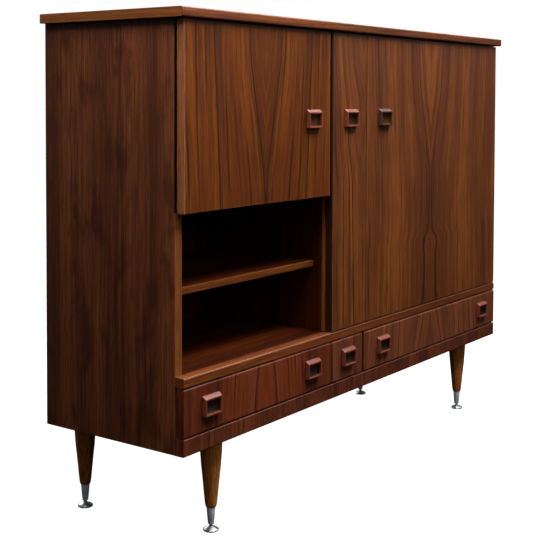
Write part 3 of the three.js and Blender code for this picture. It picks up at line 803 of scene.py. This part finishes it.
def dress_fronts():
    """The doors, the drawers and their handles."""
    for i, bay in enumerate(BAYS):
        low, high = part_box(f"door_{bay}")
        tones, lip_tones, lip_width, settings = DOOR_LOOK[bay]
        dress(f"door_{bay}", matched_veneer(
            f"door_veneer_{bay}", tones, 61.0 + 7 * i, DOOR_SEAM[bay], DOOR_SPREAD[bay],
            edges=(low.x, high.x, lip_width, lip_tones), contrast=0.95, streaks=0.65,
            **settings), FINE_EDGE)
        dress(f"drawer_{bay}_front", matched_veneer(
            f"drawer_veneer_{bay}", DRAWER_TONES[bay], 83.0 + 5 * i, DRAWER_SEAM[bay],
            DRAWER_SPREAD[bay], flare=0.45, contrast=0.85, streaks=0.7), FINE_EDGE)
        dress(f"drawer_{bay}_box", box_wood(f"drawer_{bay}_box", 97.0 + i), FINE_EDGE)
        dress(f"drawer_{bay}_bottom", solid_wood(f"drawer_ply_{bay}", PLY, "X", 101.0 + i,
                                                 streaks=0.2), 0.3 * MM)
    handle = solid_wood("handle_teak", TEAK_HANDLE, "X", 107.0, streaks=0.15, contrast=0.8)
    darker = solid_wood("handle_teak_dark", TEAK_HANDLE_DARK, "X", 109.0, streaks=0.15)
    for node in NODES:
        if node.startswith("handle_"):
            wood = darker if node == "handle_door_wide" else handle
            dress(node, wood, HANDLE_EDGE, 4)


def dress_legs():
    """The legs, ferrules and feet, and the pivot plates of the doors."""
    for i, corner in enumerate(CORNERS):
        # the legs' wood carries painted bounce light from the floor
        dress(f"leg_{corner}", solid_wood(f"leg_teak_painted_bounce_{corner}", TEAK_LEG_PAINTED_BOUNCE, "Z", 113.0 + i,
                                          streaks=0.5, contrast=1.2), 0.0)
        dress(f"ferrule_{corner}", FERRULE, 0.0)
        dress(f"foot_{corner}", CHROME, 0.0)
    for node in NODES:
        if node.startswith("pivot_"):
            dress(node, BRASS, 0.3 * MM)


dress_cabinet()
dress_fronts()
dress_legs()

# -------------------- fittings

ROUND_STEPS = 20
CORNER_STEPS = 4
SLOT_W = 0.8 * MM               # slot of a screw
SLOT_DEPTH = 0.7 * MM
HEAD_BASE = 0.35 * MM           # head below the slot
HEAD_CHAMFER = 0.35 * MM
SCREW_R = 3.2 * MM
TURN_STEP = 2.4                 # radians from one screw's slot to the next


def axes_facing(out, turn=0.0):
    """Two directions across a surface, turned by an angle, and the one standing out of it."""
    out = Vector(out).normalized()
    level = Vector((1, 0, 0)) if abs(out.x) < 0.9 else Vector((0, 1, 0))
    along = out.cross(level).normalized()
    across = along.cross(out)
    return (across * math.cos(turn) + along * math.sin(turn),
            along * math.cos(turn) - across * math.sin(turn), out)


def arc(radius, start=0.0, end=2 * math.pi, steps=ROUND_STEPS, closed=True):
    """Points round a circle, or along part of one when it is not closed."""
    count = steps if closed else steps + 1
    angles = [start + (end - start) * i / steps for i in range(count)]
    return [(radius * math.cos(a), radius * math.sin(a)) for a in angles]


def rounded_rectangle(width, height, radius):
    """Points round a rectangle about the origin."""
    points = []
    for i, (x, y) in enumerate(((1, 1), (-1, 1), (-1, -1), (1, -1))):
        quarter = arc(radius, i * math.pi / 2, (i + 1) * math.pi / 2, CORNER_STEPS, closed=False)
        middle = (x * (width / 2 - radius), y * (height / 2 - radius))
        points += [(middle[0] + u, middle[1] + v) for u, v in quarter]
    return points


def join_rings(bm, lower, upper):
    """A band of faces between two closed rings of points."""
    for i in range(len(lower)):
        j = (i + 1) % len(lower)
        bm.faces.new((lower[i], lower[j], upper[j], upper[i]))


def add_prism(bm, outline, place, axes, height, chamfer=0.0):
    """A flat prism standing on a surface, with a chamfered top edge."""
    across, along, out = axes
    middle = sum((Vector(point) for point in outline), Vector((0, 0))) / len(outline)

    def ring(at, shrink):
        loop = []
        for point in outline:
            offset = Vector(point) - middle
            u, v = middle + offset * (1 - shrink / offset.length)
            loop.append(bm.verts.new(Vector(place) + across * u + along * v + out * at))
        return loop

    rings = [ring(0.0, 0.0), ring(height - chamfer, 0.0)]
    if chamfer:
        rings.append(ring(height, chamfer))
    for lower, upper in zip(rings, rings[1:]):
        join_rings(bm, lower, upper)
    bm.faces.new(rings[0][::-1])
    bm.faces.new(rings[-1])


def add_screw(bm, place, out, radius, turn):
    """A slotted screw: a thin disc with two half heads either side of the slot."""
    axes = axes_facing(out, turn)
    place = Vector(place)
    add_prism(bm, arc(radius), place, axes, HEAD_BASE)
    start = math.asin(SLOT_W / 2 / radius)
    for half in (0, math.pi):
        head = arc(radius, half + start, half + math.pi - start, ROUND_STEPS // 2, closed=False)
        add_prism(bm, head, place + axes[2] * HEAD_BASE, axes, SLOT_DEPTH, HEAD_CHAMFER)


def make_piece(name, bm, material, body):
    """A new piece from a bmesh, riding on a body."""
    bmesh.ops.recalc_face_normals(bm, faces=bm.faces)
    mesh = bpy.data.meshes.new(name)
    bm.to_mesh(mesh)
    bm.free()
    mesh.materials.append(material)
    piece = bpy.data.objects.new(name, mesh)
    bpy.context.scene.collection.objects.link(piece)
    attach(piece, body)
    return piece


def turn_of(number):
    """A repeatable angle for the slot of one screw."""
    return TURN_STEP * number


# The hole in a handle frame, measured in from the frame's own box.
HOLE_IN_SIDE = 5.5 * MM
HOLE_IN_TOP = 11 * MM
HOLE_IN_BOTTOM = 5.5 * MM
# The tray of painted shade that lines the hole.
CUP_DEPTH = 6.5 * MM
CUP_WALL = 0.5 * MM
CUP_FIT = 0.1 * MM
CUP_CORNER = 2 * MM


def make_shade_cups():
    """Painted shade: a dark tray inside each handle frame, against the door or the drawer front."""
    door_cup_shade = solid_wood("door_cup_painted_shade", DOOR_CUP_PAINTED_SHADE, "Z", 127.0, streaks=0.2)
    drawer_cup_shade = solid_wood("drawer_cup_painted_shade", DRAWER_CUP_PAINTED_SHADE, "Z", 131.0, streaks=0.2)
    for body, nodes in BODIES.items():
        for node in nodes:
            if not node.startswith("handle_"):
                continue
            low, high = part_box(node)
            x = (low.x + high.x) / 2
            z = (low.z + HOLE_IN_BOTTOM + high.z - HOLE_IN_TOP) / 2
            width = high.x - low.x - 2 * (HOLE_IN_SIDE + CUP_FIT)
            height = high.z - low.z - HOLE_IN_TOP - HOLE_IN_BOTTOM - 2 * CUP_FIT
            bm = bmesh.new()
            loops = []
            for inset, proud in ((0, 0), (0, CUP_DEPTH), (CUP_WALL, CUP_DEPTH),
                                 (3 * CUP_WALL, CUP_WALL * 2)):
                outline = rounded_rectangle(width - 2 * inset, height - 2 * inset, CUP_CORNER)
                loops.append([bm.verts.new((x + u, high.y - proud, z + v)) for u, v in outline])
            for lower, upper in zip(loops, loops[1:]):
                join_rings(bm, lower, upper)
            bm.faces.new(loops[0])
            bm.faces.new(loops[-1])
            # the tray is painted shade, golden brown on doors and near black on drawers
            wood = door_cup_shade if body.endswith("door") else drawer_cup_shade
            make_piece(f"{node}_cup", bm, wood, body)


HANDLE_SCREW_IN = 9 * MM        # from each end of a handle
HANDLE_SCREW_R = 3.6 * MM


def make_handle_screws():
    """Two screws into each handle, from the back of the door or from inside the drawer."""
    for body, nodes in BODIES.items():
        handles = [node for node in nodes if node.startswith("handle_")]
        if not handles:
            continue
        bay = body.split("_")[0]
        if body.endswith("door"):
            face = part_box(f"door_{bay}")[1].y
        else:
            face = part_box(f"drawer_{bay}_box")[0].y + BOX_SIDE
        bm = bmesh.new()
        for i, node in enumerate(handles):
            low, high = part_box(node)
            for j, x in enumerate((low.x + HANDLE_SCREW_IN, high.x - HANDLE_SCREW_IN)):
                add_screw(bm, (x, face, (low.z + high.z) / 2), (0, 1, 0), HANDLE_SCREW_R,
                          turn_of(2 * i + j + len(bay)))
        make_piece(f"{body}_handle_screws", bm, STEEL, body)


PLATE_T = 2 * MM                # pivot plates
ARM_HALF = 7 * MM
PIVOT_SETBACKS = (14 * MM, 34 * MM)


def make_pivot_screws():
    """Two screws through each pivot plate into the carcass."""
    carcass_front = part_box("side_left")[0].y
    for i, bay in enumerate(BAYS):
        for end in ("top", "bottom"):
            low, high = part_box(f"pivot_{bay}_{end}")
            x = low.x + ARM_HALF if bay == "wide" else high.x - ARM_HALF
            if end == "top":
                z, out = high.z - PLATE_T, (0, 0, -1)
            else:
                z, out = low.z + PLATE_T, (0, 0, 1)
            if bay == "left" and end == "bottom":
                z, out = low.z, (0, 0, -1)
            bm = bmesh.new()
            for j, setback in enumerate(PIVOT_SETBACKS):
                add_screw(bm, (x, carcass_front + setback, z), out, SCREW_R, turn_of(i + j))
            make_piece(f"pivot_screws_{bay}_{end}", bm, BRASS, "cabinet")


PIN_R = 2.5 * MM
PIN_OUT = 9 * MM
PIN_CHAMFER = 0.6 * MM
COLLAR_R = 4 * MM
COLLAR_T = 1.2 * MM
COLLAR_CHAMFER = 0.3 * MM
UNDER_SHELF = 0.2 * MM
PIN_SETBACK = 40 * MM


def make_shelf_pins():
    """Four brass pins under each loose shelf, two in each side of its cupboard."""
    for bay in BAYS:
        low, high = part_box(f"cupboard_shelf_{bay}")
        bm = bmesh.new()
        for x, out in ((low.x, (1, 0, 0)), (high.x, (-1, 0, 0))):
            axes = axes_facing(out)
            for y in (low.y + PIN_SETBACK, high.y - PIN_SETBACK):
                pin = (x, y, low.z - PIN_R - UNDER_SHELF)
                add_prism(bm, arc(PIN_R), pin, axes, PIN_OUT, PIN_CHAMFER)
                collar = (x, y, low.z - COLLAR_R - UNDER_SHELF)
                add_prism(bm, arc(COLLAR_R), collar, axes, COLLAR_T, COLLAR_CHAMFER)
        make_piece(f"shelf_pins_{bay}", bm, BRASS, "cabinet")


CATCH_SIZE = (34 * MM, 13 * MM)
CATCH_DEPTH = 30 * MM
CATCH_PROUD = 3.6 * MM          # in front of the carcass
CATCH_FROM_SIDE = {"left": 24 * MM, "narrow": 22 * MM, "wide": 22 * MM}
CATCH_BEHIND = 1 * MM           # the case stops this far behind the ends of its poles
CATCH_CHAMFER = 0.8 * MM
POLE_SIZE = (22 * MM, 1.6 * MM)
POLE_OFF = 2.6 * MM             # above and below the middle of the catch
POLE_LENGTH = 3 * MM
STRIKE_SIZE = (30 * MM, 9 * MM)
STRIKE_DROP = 10 * MM           # below the top
STRIKE_T = 0.8 * MM
CATCH_CORNER = 2 * MM
POLE_CORNER = 0.5 * MM
FINE_CHAMFER = 0.2 * MM


def make_catches():
    """A magnetic catch under the top for each door, and its plate on the door."""
    carcass_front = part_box("side_left")[0].y
    under_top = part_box("top_panel")[0].z
    middles = {
        "left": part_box("left_door_stop")[0].x - CATCH_FROM_SIDE["left"],
        "narrow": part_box("upper_partition_right")[0].x - CATCH_FROM_SIDE["narrow"],
        "wide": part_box("upper_partition_right")[1].x + CATCH_FROM_SIDE["wide"],
    }
    forwards = axes_facing((0, -1, 0))
    front = carcass_front - CATCH_PROUD
    z = under_top - CATCH_SIZE[1] / 2
    for bay, x in middles.items():
        bm = bmesh.new()
        case = rounded_rectangle(*CATCH_SIZE, CATCH_CORNER)
        add_prism(bm, case, (x, front + CATCH_DEPTH, z), forwards, CATCH_DEPTH - CATCH_BEHIND,
                  CATCH_CHAMFER)
        make_piece(f"catch_{bay}", bm, CATCH_CASE, "cabinet")
        bm = bmesh.new()
        pole = rounded_rectangle(*POLE_SIZE, POLE_CORNER)
        for side in (-1, 1):
            place = (x, front + POLE_LENGTH, z + side * POLE_OFF)
            add_prism(bm, pole, place, forwards, POLE_LENGTH, FINE_CHAMFER)
        make_piece(f"catch_poles_{bay}", bm, STEEL, "cabinet")
        bm = bmesh.new()
        place = (x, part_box(f"door_{bay}")[1].y, under_top - STRIKE_DROP)
        strike = rounded_rectangle(*STRIKE_SIZE, CATCH_CORNER)
        add_prism(bm, strike, place, axes_facing((0, 1, 0)), STRIKE_T, FINE_CHAMFER)
        make_piece(f"strike_{bay}", bm, STEEL, f"{bay}_door")


BACK_COLUMNS = {"left": 4, "right": 6}      # spaces between the screws
BACK_ROWS = 5
BACK_SCREW_IN = 7 * MM


def make_back_screws():
    """A row of screws round each back panel."""
    for side, columns in BACK_COLUMNS.items():
        low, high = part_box(f"back_{side}")
        width = high.x - low.x - 2 * BACK_SCREW_IN
        height = high.z - low.z - 2 * BACK_SCREW_IN
        bm = bmesh.new()
        for i in range(columns + 1):
            for j in range(BACK_ROWS + 1):
                if i in (0, columns) or j in (0, BACK_ROWS):
                    x = low.x + BACK_SCREW_IN + width * i / columns
                    z = low.z + BACK_SCREW_IN + height * j / BACK_ROWS
                    add_screw(bm, (x, high.y, z), (0, 1, 0), SCREW_R, turn_of(i * 7 + j))
        make_piece(f"back_screws_{side}", bm, STEEL, "cabinet")


LEG_PLATE_HALF = 42 * MM
LEG_PLATE_T = 2.5 * MM
LEG_GAP = 0.4 * MM
LEG_PLATE_STEPS = 40
FRONT_CLEAR = 0.8 * MM          # the plates stop short of the cabinet's front
BACK_BEYOND = 5 * MM            # and run on under the back panels
LEG_SCREW_X = (-34 * MM, 34 * MM)
LEG_SCREW_Y = (20 * MM, -18 * MM)   # towards the middle of the cabinet, and away from it
LEG_SCREW_R = 3.8 * MM


def edge_of(box, u, v):
    """How far a ray (u, v) from the leg runs to the edge of its plate."""
    low_x, low_y, high_x, high_y = box
    to_side = (high_x if u > 0 else low_x) / u if abs(u) > 1e-6 else 1.0
    to_end = (high_y if v > 0 else low_y) / v if abs(v) > 1e-6 else 1.0
    return min(to_side, to_end)


def make_leg_plates():
    """A steel plate round the top of each leg, screwed to the underside of the cabinet."""
    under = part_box("base_panel")[0].z
    front_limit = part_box("side_left")[0].y + FRONT_CLEAR
    back_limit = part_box("base_panel")[1].y + BACK_BEYOND
    for corner in CORNERS:
        low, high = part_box(f"leg_{corner}")
        x, y = (low.x + high.x) / 2, (low.y + high.y) / 2
        hole = (high.x - low.x) / 2 + LEG_GAP
        box = (-LEG_PLATE_HALF, max(front_limit - y, -LEG_PLATE_HALF),
               LEG_PLATE_HALF, min(back_limit - y, LEG_PLATE_HALF))
        angles = {2 * math.pi * i / LEG_PLATE_STEPS for i in range(LEG_PLATE_STEPS)}
        angles |= {math.atan2(v, u) % (2 * math.pi) for u in (box[0], box[2])
                   for v in (box[1], box[3])}
        rays = [(math.cos(angle), math.sin(angle)) for angle in sorted(angles)]
        bm = bmesh.new()

        def ring(z, radius_of):
            return [bm.verts.new((x + radius_of(u, v) * u, y + radius_of(u, v) * v, z))
                    for u, v in rays]

        rings = []
        for z in (under, under - LEG_PLATE_T):
            rings.append(ring(z, lambda u, v: hole))
            rings.append(ring(z, lambda u, v: edge_of(box, u, v)))
        high_inner, high_outer, low_inner, low_outer = rings
        for a, b in ((high_inner, high_outer), (high_outer, low_outer),
                     (low_outer, low_inner), (low_inner, high_inner)):
            join_rings(bm, a, b)
        inwards = 1 if y < 0 else -1
        for i, u in enumerate(LEG_SCREW_X):
            for j, v in enumerate(LEG_SCREW_Y):
                place = (x + u, y + inwards * v, under - LEG_PLATE_T)
                add_screw(bm, place, (0, 0, -1), LEG_SCREW_R, turn_of(3 * i + j))
        make_piece(f"leg_plate_{corner}", bm, STEEL, "cabinet")


make_shade_cups()
make_handle_screws()
make_pivot_screws()
make_shelf_pins()
make_catches()
make_back_screws()
make_leg_plates()
